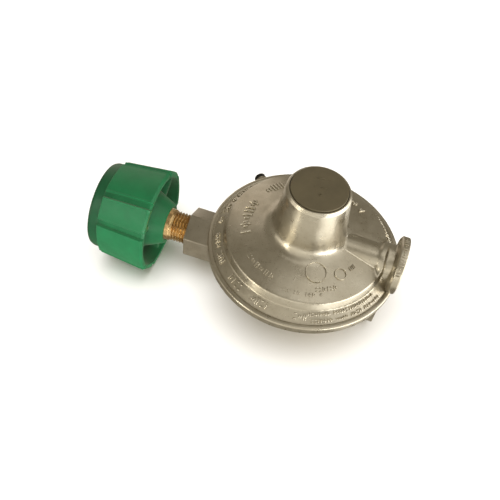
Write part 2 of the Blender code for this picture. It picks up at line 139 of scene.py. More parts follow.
def added(name, data):
    """A new object in the scene."""
    made = bpy.data.objects.new(name, data)
    bpy.context.collection.objects.link(made)
    return made


def mesh_object(name, vertices, faces, sharp=32.0):
    """A smooth-shaded object from points in millimetres, with its faces turned outwards."""
    mesh = bpy.data.meshes.new(name)
    mesh.from_pydata((np.asarray(vertices) * MM).tolist(), [], faces)
    bm = bmesh.new()
    bm.from_mesh(mesh)
    bmesh.ops.remove_doubles(bm, verts=bm.verts, dist=1e-7)
    bmesh.ops.dissolve_degenerate(bm, dist=1e-8, edges=bm.edges)
    bmesh.ops.recalc_face_normals(bm, faces=bm.faces)
    bm.to_mesh(mesh)
    bm.free()
    mesh.shade_smooth()
    mesh.set_sharp_from_angle(angle=radians(sharp))
    return added(name, mesh)


def row_faces(rows, around, closed=False):
    """Faces between rows of points; the rows close on themselves or get flat caps."""
    index = np.arange(rows * around).reshape(rows, around)
    upper = np.roll(index, -1, axis=0) if closed else index[1:]
    lower = index if closed else index[:-1]
    quads = np.stack([lower, np.roll(lower, -1, axis=1), np.roll(upper, -1, axis=1), upper], axis=-1)
    faces = quads.reshape(-1, 4).tolist()
    if not closed:
        faces += [index[0].tolist(), index[-1].tolist()]
    return faces


def skin(name, grid, closed=False, sharp=32.0):
    """Skins rows of points that run round a piece."""
    return mesh_object(name, grid.reshape(-1, 3), row_faces(*grid.shape[:2], closed), sharp)


def about_z(profile, angles):
    """Rows of points for an outline of (radius, height) turned round Z."""
    r, z = np.array(profile).T
    flat = np.ones_like(angles)
    return np.stack([np.outer(r, np.cos(angles)), np.outer(r, np.sin(angles)), np.outer(z, flat)], -1)


def about_x(profile, angles, centre_z):
    """Rows of points for an outline of (radius, x) turned round an axis along X."""
    r, x = np.array(profile).T
    flat = np.ones_like(angles)
    grid = [np.outer(x, flat), np.outer(r, np.cos(angles)), centre_z + np.outer(r, np.sin(angles))]
    return np.stack(grid, -1)


def circle(count):
    """Angles of evenly spaced points round a circle."""
    return np.arange(count) * FULL_TURN / count


def inlet_loop(x, radius, angles):
    """A loop of points round the inlet axis at one x."""
    return np.stack([np.full_like(radius, x), radius * np.cos(angles), AXIS_Z + radius * np.sin(angles)], -1)


def steps_between(value, start, end):
    """Smooth step from 0 at start to 1 at end."""
    t = np.clip((value - start) / (end - start), 0.0, 1.0)
    return t * t * (3.0 - 2.0 * t)


def joined_solids(base, *tools):
    """Applies (operation, tool) Booleans to a piece and removes the tools."""
    for operation, tool in tools:
        step = base.modifiers.new(tool.name, "BOOLEAN")
        step.operation = operation
        step.object = tool
        step.solver = "EXACT"
    seen = bpy.context.evaluated_depsgraph_get()
    mesh = bpy.data.meshes.new_from_object(base.evaluated_get(seen))
    base.modifiers.clear()
    base.data = mesh
    for _, tool in tools:
        bpy.data.objects.remove(tool, do_unlink=True)
    mesh.shade_smooth()
    mesh.set_sharp_from_angle(angle=radians(32.0))
    return base


def solid_bar(name, radius, start_x, end_x, centre_z):
    """A plain round tool along X for Booleans."""
    return skin(name, about_x([(radius, start_x), (radius, end_x)], circle(64), centre_z))


def ring_about(first, second, sides):
    """Unit circle of points in the plane of two directions."""
    angles = circle(sides)
    return np.outer(np.cos(angles), first) + np.outer(np.sin(angles), second)


def tube(points, radius, sides):
    """Vertices and faces of a thin tube through points; its ends are capped."""
    points = np.asarray(points, float)
    along = np.gradient(points, axis=0)
    along /= np.linalg.norm(along, axis=1)[:, None]
    start = np.cross(along[0], (0.0, 0.0, 1.0) if abs(along[0][2]) < 0.9 else (1.0, 0.0, 0.0))
    rows = []
    for p, t in zip(points, along):
        start = start - t * start.dot(t)
        start /= np.linalg.norm(start)
        rows.append(p + radius * ring_about(start, np.cross(t, start), sides))
    return np.concatenate(rows), row_faces(len(rows), sides)


# ---- material helpers

class Finish:
    """A procedural Principled material that is put together step by step."""

    def __init__(self, name, metallic, colour, roughness):
        self.material = bpy.data.materials.new(name)
        self.material.use_nodes = True
        self.material.diffuse_color = (*colour, 1.0)
        self.tree = self.material.node_tree
        self.shader = self.tree.nodes["Principled BSDF"]
        self.shader.inputs["Metallic"].default_value = metallic
        self.shader.inputs["Base Color"].default_value = (*colour, 1.0)
        self.shader.inputs["Roughness"].default_value = roughness
        self.where = self.node("TexCoord").outputs["Object"]
        self.height = None

    def link(self, source, target):
        self.tree.links.new(source, target)

    def node(self, kind, *sources, **numbers):
        """Adds a node, links its first inputs and sets others; an underscore stands for a space."""
        node = self.tree.nodes.new("ShaderNode" + kind)
        for source, socket in zip(sources, node.inputs):
            self.link(source, socket)
        for socket, number in numbers.items():
            node.inputs[socket.replace("_", " ")].default_value = number
        return node

    def noise(self, scale, detail=4.0, rough=0.55, stretch=(1.0, 1.0, 1.0), distortion=0.0):
        """A noise pattern; scale is in features per metre, roughly."""
        at = self.node("Mapping", self.where, Scale=stretch).outputs[0]
        noise = self.node("TexNoise", at, Scale=scale, Detail=detail, Roughness=rough, Distortion=distortion)
        return noise.outputs["Fac"]

    def spread(self, value, low, high, to_low=0.0, to_high=1.0):
        """Maps a stretch of a value to another stretch, clamped."""
        node = self.node("MapRange", value, From_Min=low, From_Max=high, To_Min=to_low, To_Max=to_high)
        return node.outputs["Result"]

    def painted_shade_mask(self, start_x, deep_x, radius):
        """1 deep within a radius of the inlet axis and 0 outside it: where the nut's recess, bore and collar
        get painted shade.
        """
        centre = (0.0, 0.0, -AXIS_Z * MM)
        flat = self.node("Mapping", self.where, Location=centre, Scale=(0.0, 1.0, 1.0)).outputs[0]
        length = self.node("VectorMath", flat)
        length.operation = "LENGTH"
        inner = radius * MM
        within = self.spread(length.outputs["Value"], inner - 0.001, inner, 1.0, 0.0)
        x = self.node("SeparateXYZ", self.where).outputs["X"]
        both = self.node("Math", within, self.spread(x, start_x * MM, deep_x * MM))
        both.operation = "MULTIPLY"
        return both.outputs["Value"]

    def mix(self, factor, first, second):
        """Mixes two colours, given as numbers or as sockets."""
        node = self.node("Mix", factor)
        node.data_type = "RGBA"
        for socket, colour in ((node.inputs[6], first), (node.inputs[7], second)):
            if isinstance(colour, tuple):
                socket.default_value = (*colour, 1.0)
            else:
                self.link(colour, socket)
        return node.outputs[2]

    def colour(self, socket):
        self.link(socket, self.shader.inputs["Base Color"])

    def roughness(self, socket):
        self.link(socket, self.shader.inputs["Roughness"])

    def bump(self, value, depth_mm):
        """Adds a layer of relief of the given depth."""
        node = self.node("Bump", Strength=1.0, Distance=depth_mm * MM)
        self.link(value, node.inputs["Height"])
        if self.height is not None:
            self.link(self.height, node.inputs["Normal"])
        self.height = node.outputs["Normal"]
        self.link(self.height, self.shader.inputs["Normal"])


def zinc_finish(name, colour, roughness, streaks=0.0):
    """Tumbled die-cast zinc: satin, faintly mottled, with grain, small dents and draw marks."""
    finish = Finish(name, 1.0, colour, roughness)
    light = tuple(min(1.0, c * 1.08) for c in colour)
    dark = (colour[0] * 0.90, colour[1] * 0.88, colour[2] * 0.84)
    broad = finish.spread(finish.noise(75.0, 5.0, 0.6), 0.32, 0.68)
    tinted = finish.mix(broad, dark, light)
    speck = finish.spread(finish.noise(1500.0, 3.0, 0.7), 0.60, 0.74)
    finish.colour(finish.mix(speck, tinted, (colour[0] * 0.55, colour[1] * 0.52, colour[2] * 0.46)))
    wander = finish.noise(260.0, 4.0, 0.6)
    finish.roughness(finish.spread(wander, 0.3, 0.7, roughness - 0.06, roughness + 0.09))
    finish.bump(finish.noise(2600.0, 2.0, 0.6), 0.012)
    finish.bump(finish.noise(420.0, 3.0, 0.5), 0.045)
    finish.bump(finish.noise(130.0, 2.0, 0.5), 0.15)
    for stretch in ((1.0, 0.05, 1.0), (0.06, 1.0, 0.5)):
        scratch = finish.spread(finish.noise(640.0, 2.0, 0.5, stretch, 0.3), 0.68, 0.73)
        finish.bump(scratch, 0.02)
    if streaks:
        finish.bump(finish.noise(900.0, 3.0, 0.6, (1.0, 1.0, 0.03)), streaks)
    return finish.material


def brass_finish():
    """Turned brass with fine tool marks round the axis and slight tarnish."""
    colour = (0.66, 0.47, 0.235)
    finish = Finish("turned_brass", 1.0, colour, 0.24)
    tarnish = finish.spread(finish.noise(240.0, 5.0, 0.65), 0.42, 0.72)
    finish.colour(finish.mix(tarnish, colour, (0.40, 0.25, 0.115)))
    finish.roughness(finish.spread(finish.noise(700.0, 3.0), 0.3, 0.7, 0.18, 0.34))
    finish.bump(finish.noise(3200.0, 2.0, 0.5, (1.0, 0.04, 0.04)), 0.010)
    return finish.material


def moulded_finish(name, colour, roughness, grain_mm, specks, cored=None):
    """Moulded plastic with a fine grain, colour drift and pale scuffs; cored adds painted shade deep in a
    recess.
    """
    finish = Finish(name, 0.0, colour, roughness)
    drift = finish.spread(finish.noise(90.0, 4.0, 0.6), 0.3, 0.7)
    base = finish.mix(drift, tuple(c * 0.86 for c in colour), tuple(c * 1.12 for c in colour))
    scuff = finish.spread(finish.noise(700.0, 6.0, 0.75, distortion=0.6), 0.66, 0.78, 0.0, specks)
    pale = tuple(min(1.0, c * 0.6 + 0.30) for c in colour)
    shown = finish.mix(scuff, base, pale)
    # painted shade: darker green deep in the nut's recess and bore and on its collar
    if cored:
        shown = finish.mix(finish.painted_shade_mask(*cored), shown, tuple(c * 0.42 for c in colour))
    finish.colour(shown)
    finish.roughness(finish.spread(finish.noise(500.0, 3.0), 0.3, 0.7, roughness - 0.06, roughness + 0.08))
    finish.bump(finish.noise(3000.0, 2.0, 0.6), grain_mm)
    finish.bump(finish.noise(160.0, 3.0, 0.5), grain_mm * 4.0)
    return finish.material


def steel_finish(name, colour, roughness):
    """Drawn or plated steel with fine lengthways marks."""
    finish = Finish(name, 1.0, colour, roughness)
    drift = finish.spread(finish.noise(300.0, 4.0, 0.6), 0.35, 0.7)
    finish.colour(finish.mix(drift, colour, tuple(c * 0.72 for c in colour)))
    finish.roughness(finish.spread(finish.noise(900.0, 3.0), 0.3, 0.7, roughness - 0.05, roughness + 0.08))
    finish.bump(finish.noise(2400.0, 2.0), 0.008)
    return finish.material


def rubber_finish():
    """Dull moulded rubber."""
    finish = Finish("moulded_rubber", 0.0, (0.025, 0.025, 0.025), 0.75)
    finish.colour(finish.mix(finish.noise(400.0), (0.018, 0.018, 0.018), (0.04, 0.038, 0.036)))
    finish.bump(finish.noise(1800.0), 0.02)
    return finish.material


def clothe(piece, material):
    piece.data.materials.clear()
    piece.data.materials.append(material)
    return piece


def merged_piece(name, parts):
    """One object from a list of (vertices, faces)."""
    vertices = []
    faces = []
    for points, part_faces in parts:
        faces += [[i + len(vertices) for i in face] for face in part_faces]
        vertices.extend(points)
    return mesh_object(name, vertices, faces, sharp=60.0)


def place(piece, finish, body, slot, *nodes):
    """Clothes a piece, rides it on a body and hides the nodes that it replaces; the slot is not used."""
    clothe(piece, finish)
    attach(piece, body)
    if nodes:
        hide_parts(*nodes)
    return piece


# ---- bonnet

DOME_EDGE = 33.5  # radius at which the crown starts
TOWER_FOOT = 17.0
RING_HEAD_R = 35.15  # the sloping ring, from its head under the step to its foot at the rim
RING_HEAD_Z = SKIRT_Z + 7.8
RING_FOOT_R = 39.35
RING_FOOT_Z = SKIRT_Z + 4.15
CROWN_LOW = SKIRT_Z + 11.8
CROWN_HIGH = SKIRT_Z + 16.4
RIDGE_Y = -1.1  # axis of the ridge that runs from the tower to the vent
RIDGE_Z = SKIRT_Z + 12.1
RIDGE_R = 6.1
RIDGE_END_X = 32.7
NECK_R = 7.9
NECK_START_X = 31.9
NECK_BLEND = 2.4  # fillet between the ridge and the neck
RIDGE_FILLET = 0.3  # fillet along the foot of the ridge, and how much wider it is at the neck
NECK_FILLET_MORE = 5.0
FLANGE_FOOT_Z = SKIRT_Z + 2.2
TOWER_FILLET = 6.0


def crown(radius):
    """Height of the gently crowned top between the step and the tower's foot."""
    span = 1.0 - (TOWER_FOOT / DOME_EDGE) ** 2
    return CROWN_LOW + (CROWN_HIGH - CROWN_LOW) * (1.0 - (radius / DOME_EDGE) ** 2) / span


def bonnet_outside():
    """Outline from the skirt's inner edge over the rim, ring, step, crown and tower."""
    low = SKIRT_Z
    corners = [
        (38.7, low + 0.7), (38.7, low, 0.25), (RIM_R, low, 1.6), (RIM_R, low + 4.5, 0.9),
        (39.75, low + 4.5, 0.4), (RING_FOOT_R, RING_FOOT_Z, 0.3), (RING_HEAD_R, RING_HEAD_Z, 0.9),
        (34.15, crown(34.15), 1.3),
    ]
    corners += [(r, crown(r)) for r in np.arange(32.0, 19.9, -1.0)]
    corners += [
        (15.5, crown(15.5), TOWER_FILLET), (13.08, TOWER_TOP_Z - 1.5, 0.4), (12.3, TOWER_TOP_Z - 0.1, 0.2),
        (11.75, TOWER_TOP_Z - 0.1, 0.15), (11.7, TOWER_TOP_Z - 0.4), (11.7, TOWER_TOP_Z - 3.0),
    ]
    return dense(rounded(corners), 0.55)


def bonnet_inside():
    """Outline from the cap's seat down the bore and round the cavity to the skirt."""
    low = SKIRT_Z
    corners = [
        (10.8, low + 37.0), (10.8, low + 19.4), (11.4, low + 16.8), (13.0, low + 15.0),
        (17.5, low + 13.4), (24.0, low + 11.8), (31.6, low + 9.4), (32.6, low + 5.9),
        (32.9, low + 4.0), (37.5, low + 4.0), (37.5, low + 2.8), (40.2, low + 2.8), (40.2, low + 0.7),
    ]
    return rounded(corners)


def nearest(a, b, blend):
    """Smooth minimum of two distances; its fillet is about as wide as blend."""
    h = np.clip(blend - np.abs(a - b), 0.0, None) / blend
    return np.minimum(a, b) - h * h * blend / 4.0


def vent_distance(x, y, z):
    """Distance to the vent's ridge and to the wider neck behind its flange."""
    ridge = np.maximum(np.hypot(y - RIDGE_Y, z - RIDGE_Z) - RIDGE_R, x - RIDGE_END_X)
    neck = np.maximum(np.hypot(y, z - LIP_Z) - NECK_R, NECK_START_X - x)
    return nearest(ridge, neck, NECK_BLEND)


def raise_vent(grid):
    """Lifts the bonnet's outside onto the ridge and neck, with fillets along their feet."""
    x, y, z = grid[..., 0], grid[..., 1], grid[..., 2]
    blend = RIDGE_FILLET + NECK_FILLET_MORE * steps_between(x, NECK_START_X - 1.5, NECK_START_X + 1.5)
    low = z.copy()
    high = z + 14.0
    for _ in range(26):
        middle = (low + high) / 2.0
        outside = nearest(middle - z, vent_distance(x, y, middle), blend) > 0.0
        high = np.where(outside, middle, high)
        low = np.where(outside, low, middle)
    near = (x > 12.5) & (np.abs(y) < NECK_R + 5.0) & (z < RIDGE_Z + RIDGE_R + 2.0)
    grid[..., 2] = np.where(near, high, z)


def vent_flange():
    """Round flange of the vent, with its foot cut level above the skirt."""
    back = LIP_FACE_X - 3.4
    corners = [
        (0.0, back - 4.0), (7.3, back - 4.0), (7.8, back - 0.9, 1.0), (11.3, back - 0.25, 0.4),
        (LIP_R, back + 0.4, 0.45), (LIP_R, LIP_FACE_X, 0.6), (0.0, LIP_FACE_X),
    ]
    profile = dense(rounded(corners), 0.8)[1:-1]
    grid = about_x(profile, circle(160), LIP_Z)
    grid[..., 2] = np.maximum(grid[..., 2], FLANGE_FOOT_Z)
    flange = skin("tool_flange", grid)
    cavity = [(0.0, SKIRT_Z - 3.0), (38.7, SKIRT_Z - 3.0), (38.7, SKIRT_Z + 0.7)]
    cavity += bonnet_inside()[::-1][:4] + [(33.5, SKIRT_Z + 4.5), (0.0, SKIRT_Z + 4.5)]
    cutter = skin("tool_cavity", about_z(cavity[1:-1], circle(180)))
    return joined_solids(flange, ("DIFFERENCE", cutter))


def build_bonnet(finish):
    """The cast top in one piece: rim, ring, step, crown, tower, ridge and vent flange."""
    near_vent = radians(27.0)
    fine = np.linspace(-near_vent, near_vent, 120, endpoint=False)
    coarse = np.linspace(near_vent, FULL_TURN - near_vent, 300, endpoint=False)
    angles = np.concatenate([fine, coarse])
    outside = about_z(bonnet_outside(), angles)
    raise_vent(outside)
    inside = about_z(bonnet_inside(), angles)
    shell = skin("bonnet_casting", np.concatenate([outside, inside]), closed=True)
    mouth = solid_bar("tool_mouth", 6.5, LIP_FACE_X - 3.0, LIP_FACE_X + 2.0, MOUTH_Z)
    passage = solid_bar("tool_passage", 4.2, 12.0, LIP_FACE_X - 2.0, SKIRT_Z + 12.4)
    joined_solids(shell, ("UNION", vent_flange()), ("DIFFERENCE", mouth), ("DIFFERENCE", passage))
    return place(shell, finish, "root", "zinc_casting", "bonnet")


# ---- raised marks

MARK_HEIGHT = 0.62
MARK_FACETS = 56  # round a raised ring


def bar_mark(centre, along, normal, length, width):
    """A raised bar with sloping sides, sunk a little into the surface."""
    along = np.asarray(along, float)
    normal = np.asarray(normal, float)
    along /= np.linalg.norm(along)
    normal /= np.linalg.norm(normal)
    across = np.cross(normal, along)
    rows = ((-0.3, 1.10), (MARK_HEIGHT * 0.55, 1.0), (MARK_HEIGHT * 0.88, 0.78), (MARK_HEIGHT, 0.42))
    vertices = []
    for height, spread in rows:
        half_width = width * spread / 2.0
        half_length = length / 2.0 - width * (1.0 - spread) / 2.0
        for s, t in ((-1, -1), (1, -1), (1, 1), (-1, 1)):
            vertices.append(centre + along * half_length * s + across * half_width * t + normal * height)
    return vertices, row_faces(len(rows), 4)


def ring_mark(centre, normal, radius, width):
    """A plain raised ring on the surface."""
    normal = np.asarray(normal, float) / np.linalg.norm(normal)
    first = np.cross(normal, (0.0, 1.0, 0.0))
    first /= np.linalg.norm(first)
    second = np.cross(normal, first)
    rows = []
    section = ((-0.6, -0.3), (-0.5, 0.6), (-0.2, 1.0), (0.2, 1.0), (0.5, 0.6), (0.6, -0.3))
    for across, height in section:
        ring = centre + normal * height * MARK_HEIGHT
        rows.append(ring + (radius + across * width) * ring_about(first, second, MARK_FACETS))
    return np.concatenate(rows), row_faces(len(rows), MARK_FACETS, closed=True)


def on_bonnet(radius, azimuth):
    """Point, outward direction along the surface, and normal on the crown or ring."""
    outward = np.array([cos(azimuth), sin(azimuth), 0.0])
    if radius > 35.0:
        slope = (RING_HEAD_Z - RING_FOOT_Z) / (RING_HEAD_R - RING_FOOT_R)
        height = RING_FOOT_Z + (radius - RING_FOOT_R) * slope
    else:
        slope = (crown(radius + 0.01) - crown(radius - 0.01)) / 0.02
        height = crown(radius)
    up = np.array([0.0, 0.0, 1.0])
    return outward * radius + up * height, outward + up * slope, up - outward * slope


# ticks of each generic mark: slide along the arc, shift outwards, length (of the height, or of the
# pitch for a dash), and whether it is a dash along the arc; they stay parallel, so none is a letter
MARK_SHAPES = (
    ((-0.24, 0.0, 1.0, False), (0.24, 0.0, 1.0, False)),
    ((0.0, -0.30, 0.66, True), (0.0, 0.30, 0.66, True)),
    ((-0.24, 0.0, 1.0, False), (0.24, 0.0, 0.5, False)),
    ((0.0, 0.0, 1.0, False),),
    ((-0.24, 0.0, 0.5, False), (0.24, 0.0, 0.5, False)),
    ((-0.30, 0.0, 0.4, False), (0.0, 0.0, 1.0, False), (0.30, 0.0, 0.4, False)),
)


def row_of_marks(rng, radius, start, end, pitch, height, width):
    """Generic raised ticks and dashes along an arc, in place of lettering."""
    parts = []
    count = int(abs(radians(end - start)) * radius / pitch)
    for i in range(count):
        choice = int(rng.integers(0, len(MARK_SHAPES) + 1))
        if choice == len(MARK_SHAPES):
            continue
        middle = radians(start + (end - start) * (i + 0.5) / count)
        for slide, shift, length, dash in MARK_SHAPES[choice]:
            point, along, normal = on_bonnet(radius + shift * height, middle + slide * pitch / radius)
            if dash:
                parts.append(bar_mark(point, np.cross(normal, along), normal, length * pitch, width))
            else:
                parts.append(bar_mark(point, along, normal, length * height, width))
    return parts


MARK_ROWS = (
    # radius, first and last azimuth, pitch, height, stroke width
    (37.1, 18.0, 62.0, 1.7, 2.4, 0.42),
    (37.1, 66.0, 128.0, 1.7, 2.2, 0.40),
    (37.0, 134.0, 176.0, 1.8, 2.8, 0.46),
    (37.2, 180.0, 206.0, 1.8, 2.6, 0.44),
    (37.1, 209.0, 222.0, 1.8, 3.0, 0.48),
    (37.1, 226.0, 241.0, 1.8, 3.0, 0.48),
    (37.1, 246.0, 268.0, 1.8, 3.0, 0.48),
    (37.1, 277.0, 286.0, 1.7, 2.6, 0.44),
    (38.2, 288.0, 338.0, 1.3, 1.35, 0.32),
    (36.2, 286.0, 336.0, 1.3, 1.35, 0.32),
    (26.6, 116.0, 154.0, 2.9, 4.0, 0.68),
    (26.2, 154.0, 208.0, 3.9, 4.4, 0.74),
    (28.4, 226.0, 256.0, 2.2, 2.4, 0.34),
    (27.2, 44.0, 80.0, 2.1, 3.2, 0.52),
    (28.8, 290.0, 311.0, 1.5, 1.9, 0.38),
    (30.8, 268.0, 296.0, 1.4, 1.4, 0.34),
    (24.6, 323.0, 334.0, 1.4, 1.7, 0.36),
)
MARK_RINGS = ((8.3, -20.3, 4.2), (17.7, -17.0, 2.4))  # x, y and radius


def ridge_foot():
    """Line where the front of the ridge meets the crown, which a thin bead follows."""
    points = []
    for x in np.arange(16.6, NECK_START_X - 1.2, 0.8):
        y = RIDGE_Y - RIDGE_R
        for _ in range(8):
            level = crown(math.hypot(x, y))
            y = RIDGE_Y - math.sqrt(RIDGE_R ** 2 - (level - RIDGE_Z) ** 2) - 0.1
        points.append((x, y, level + 0.08))
    return points


def build_marks(finish):
    """Raised generic marks: ticks round the ring and crown, and two plain rings."""
    rng = np.random.default_rng(11)
    parts = []
    for row in MARK_ROWS:
        parts += row_of_marks(rng, *row)
    for x, y, radius in MARK_RINGS:
        point, _, normal = on_bonnet(math.hypot(x, y), math.atan2(y, x))
        parts.append(ring_mark(point, normal, radius, 0.45))
    return place(merged_piece("bonnet_marks", parts), finish, "root", "zinc_casting")


def build_ridge_bead(finish):
    """Bead along the ridge's foot, in a pale zinc that paints the highlight along it."""
    return place(merged_piece("ridge_bead", [tube(ridge_foot(), 0.34, 10)]), finish, "root", "zinc_casting")


def build_flange_marks(finish):
    """Raised ticks across the edge of the vent's flange."""
    rng = np.random.default_rng(5)
    parts = []
    for i in range(16):
        angle = radians(68.0 + i * 5.4 + rng.random() * 1.2)
        normal = np.array([0.0, cos(angle), sin(angle)])
        point = np.array([LIP_FACE_X - 1.75, 0.0, LIP_Z]) + normal * (LIP_R - 0.02)
        if rng.random() < 0.65:
            parts.append(bar_mark(point, (1.0, 0.0, 0.0), normal, 1.7, 0.4))
        else:
            parts.append(bar_mark(point, np.cross(normal, (1.0, 0.0, 0.0)), normal, 0.8, 0.4))
    return place(merged_piece("flange_marks", parts), finish, "root", "zinc_casting")


# ---- lower body

def hexagon_boss(name, corner_r, start_x, end_x, chamfer):
    """A hexagonal boss along X, corners up, with slightly softened corners and end."""
    toward = 1.0 if end_x > start_x else -1.0
    half = radians(30.0)
    angles = circle(240) + half
    flat_r = corner_r * cos(half)
    folded = (angles - half) % radians(60.0) - half
    outline = np.minimum(flat_r / np.cos(folded), corner_r - 0.06)
    rows = []
    reach = abs(end_x - start_x)
    for along, sink in ((0.0, 0.0), (reach - chamfer, 0.0), (reach - chamfer * 0.3, chamfer * 0.3),
                        (reach, chamfer)):
        rows.append(inlet_loop(start_x + toward * along, outline - sink, angles))
    return skin(name, np.array(rows))


def test_port(profile, name, sides=48):
    """A piece turned round the test port's radial axis from (radius, distance from the centre)."""
    grid = about_x(profile, circle(sides), 0.0)
    turn = Matrix.Rotation(TEST_PORT_AZIMUTH, 3, "Z")
    points = grid.reshape(-1, 3) @ np.array(turn).T + np.array([0.0, 0.0, TEST_PORT_Z])
    return skin(name, points.reshape(grid.shape))


def box_tool(name, low, high):
    """A plain block between two corners, for Booleans."""
    (x0, y0, z0), (x1, y1, z1) = low, high
    return skin(name, np.array([[(x0, y0, z), (x1, y0, z), (x1, y1, z), (x0, y1, z)] for z in (z0, z1)]))


def build_body(finish):
    """The cast bowl with its two hexagons, test port and valve housing."""
    flange_r = 39.9
    shell = rounded([
        (0.01, 0.0), (23.0, 0.0, 2.0), (28.8, 6.0, 6.0), (37.4, 21.5, 8.0), (38.2, 24.0, 1.0),
        (38.2, 26.6), (flange_r, 26.6), (flange_r, 28.1), (33.2, 28.1), (33.2, 22.5, 1.0),
        (29.4, 15.0, 6.0), (25.2, 7.5, 3.0), (22.0, 3.5, 1.0), (0.01, 3.5),
    ])
    bowl = skin("body_casting", about_z(dense(shell, 2.5), circle(220)))
    inlet = hexagon_boss("tool_inlet_hex", INLET_HEX_R, -28.5, INLET_FACE_X, 0.3)
    outlet = hexagon_boss("tool_outlet_hex", OUTLET_HEX_R, 25.0, OUTLET_FACE_X, 0.3)
    for boss, middle_x in ((inlet, -21.0), (outlet, 21.0)):
        low = (middle_x - 21.0, -20.0, SKIRT_Z - 0.3)
        joined_solids(boss, ("DIFFERENCE", box_tool("tool_above", low, (middle_x + 21.0, 20.0, 60.0))))
    boss = test_port(rounded([(0.01, 35.0), (2.9, 35.0), (2.9, 46.8, 0.5), (0.01, 46.8)]), "tool_boss")
    housing = solid_bar("tool_housing", 7.2, -34.0, -17.5, AXIS_Z)
    tools = [("UNION", inlet), ("UNION", outlet), ("UNION", boss), ("UNION", housing)]
    tools.append(("UNION", box_tool("tool_rib", (-24.5, -3.2, 1.5), (-18.5, 3.2, 12.0))))
    for near, far in ((-4.0, -1.8), (1.8, 4.0)):
        tools.append(("UNION", box_tool("tool_ear", (-16.7, near, 2.0), (-10.7, far, 11.0))))
    for radius, start, end in ((7.15, INLET_FACE_X - 1.0, -41.2), (4.6, -42.0, -29.5), (2.5, -30.0, -27.0),
                               (3.9, -28.3, -16.5), (7.6, 20.0, OUTLET_FACE_X + 1.0)):
        tools.append(("DIFFERENCE", solid_bar("tool_bore", radius, start, end, AXIS_Z)))
    tools.append(("DIFFERENCE", box_tool("tool_window", (-25.4, -2.0, AXIS_Z), (-20.5, 2.0, 24.0))))
    tools.append(("DIFFERENCE", test_port([(1.9, 31.0), (1.9, 48.0)], "tool_test_bore")))
    joined_solids(bowl, *tools)
    return place(bowl, finish, "root", "zinc_casting", "lower_body")


def threaded_sleeve(name, inner_r, outer_r, start_x, end_x, pitch, depth):
    """A sleeve along X whose inside carries a right-hand thread."""
    angles = circle(120)
    xs = np.linspace(start_x, end_x, int(abs(end_x - start_x) / pitch * 12))
    rows = []
    for x in xs:
        phase = (x / pitch - angles / FULL_TURN) % 1.0
        rows.append(inlet_loop(x, inner_r + depth * np.abs(2.0 * phase - 1.0), angles))
    rows += [inlet_loop(x, np.full_like(angles, outer_r), angles) for x in (end_x, start_x)]
    return skin(name, np.array(rows), closed=True, sharp=50.0)


def build_outlet_thread(finish):
    """Pipe thread inside the outlet."""
    start, end = OUTLET_FACE_X - 11.0, OUTLET_FACE_X - 0.7
    sleeve = threaded_sleeve("outlet_thread", 7.1, 7.75, start, end, 1.41, 0.5)
    return place(sleeve, finish, "root", "zinc_casting")


def build_test_plug(finish):
    """Socket-headed plug in the test port."""
    profile = rounded([
        (0.01, 40.0), (1.6, 40.0), (1.6, 46.9), (2.6, 46.9, 0.2), (2.6, 48.8, 0.4), (0.01, 48.8),
    ])
    plug = test_port(profile, "test_plug_head")
    socket = test_port([(1.2, 47.6), (1.2, 50.0)], "tool_socket", sides=6)
    joined_solids(plug, ("DIFFERENCE", socket))
    return place(plug, finish, "root", "black_steel", "test_port_plug")


# ---- closing cap and vent

def build_cap(finish):
    """Closing cap: a flat disc with a rounded edge and a hollow skirt."""
    top = CAP_HIGH[2]
    outside = rounded([
        (0.01, top), (11.45, top, 0.25), (11.5, top - 2.2), (10.4, top - 2.2),
        (10.4, top - 5.9), (8.8, top - 5.9), (8.8, top - 2.1), (0.01, top - 2.1),
    ])
    cap = skin("closing_cap_disc", about_z(dense(outside, 1.2), circle(144)))
    return place(cap, finish, "cap", "dark_plastic", "closing_cap")


def build_cap_marks(finish):
    """Faint dashes and a gate mark moulded on the cap."""
    level = CAP_HIGH[2] - MARK_HEIGHT + 0.24
    up = (0.0, 0.0, 1.0)
    parts = []
    for x, y, length in ((-0.6, 5.2, 3.4), (1.4, 0.6, 2.6), (2.6, 5.6, 0.8), (-1.8, -0.1, 0.6)):
        parts.append(bar_mark(np.array([x, y, level]), (1.0, 0.12, 0.0), up, length, 0.35))
    parts.append(ring_mark(np.array([0.9, -3.2, level]), up, 0.45, 0.3))
    return place(merged_piece("cap_marks", parts), finish, "cap", "dark_plastic")


def build_screen(finish):
    """Woven insect screen in the vent's mouth."""
    middle_x = (SCREEN_LOW[0] + SCREEN_HIGH[0]) / 2.0
    radius = (SCREEN_HIGH[2] - SCREEN_LOW[2]) / 2.0
    pitch = 0.78
    reach = int(radius / pitch)
    wire = 0.11
    parts = []
    for way in (0, 1):
        for i in range(-reach, reach + 1):
            offset = i * pitch
            half = math.sqrt(max(0.05, radius ** 2 - offset ** 2))
            along = np.arange(-half, half + 0.01, pitch / 4.0)
            wave = wire * np.cos(np.pi * (along / pitch + i + way))
            across = np.full_like(along, offset)
            y, z = (along, across) if way else (across, along)
            parts.append(tube(np.stack([middle_x + wave, y, MOUTH_Z + z], -1), wire, 6))
    return place(merged_piece("vent_screen_weave", parts), finish, "root", "plated_steel", "vent_screen")


def build_snap_ring(finish):
    """Snap ring that holds the screen: a split flat ring with two small eyes."""
    low, high = limits("vent_screen_ring")
    outer = (high[2] - low[2]) / 2.0
    gap = radians(16.0)
    angles = np.linspace(-math.pi / 2.0 + gap, 1.5 * math.pi - gap, 120)
    rows = []
    near, far = low[0], high[0]
    for a in angles:
        to_end = min(a - angles[0], angles[-1] - a)
        inner = outer - 1.2 - 0.7 * (1.0 - steps_between(to_end, 0.16, 0.32))
        section = [(outer, near), (outer, far), (inner, far), (inner, near)]
        rows.append([(x, r * cos(a), MOUTH_Z + r * sin(a)) for r, x in section])
    ring = skin("vent_snap_ring", np.array(rows))
    return place(ring, finish, "root", "spring_steel", "vent_screen_ring")


# ---- inlet nipple

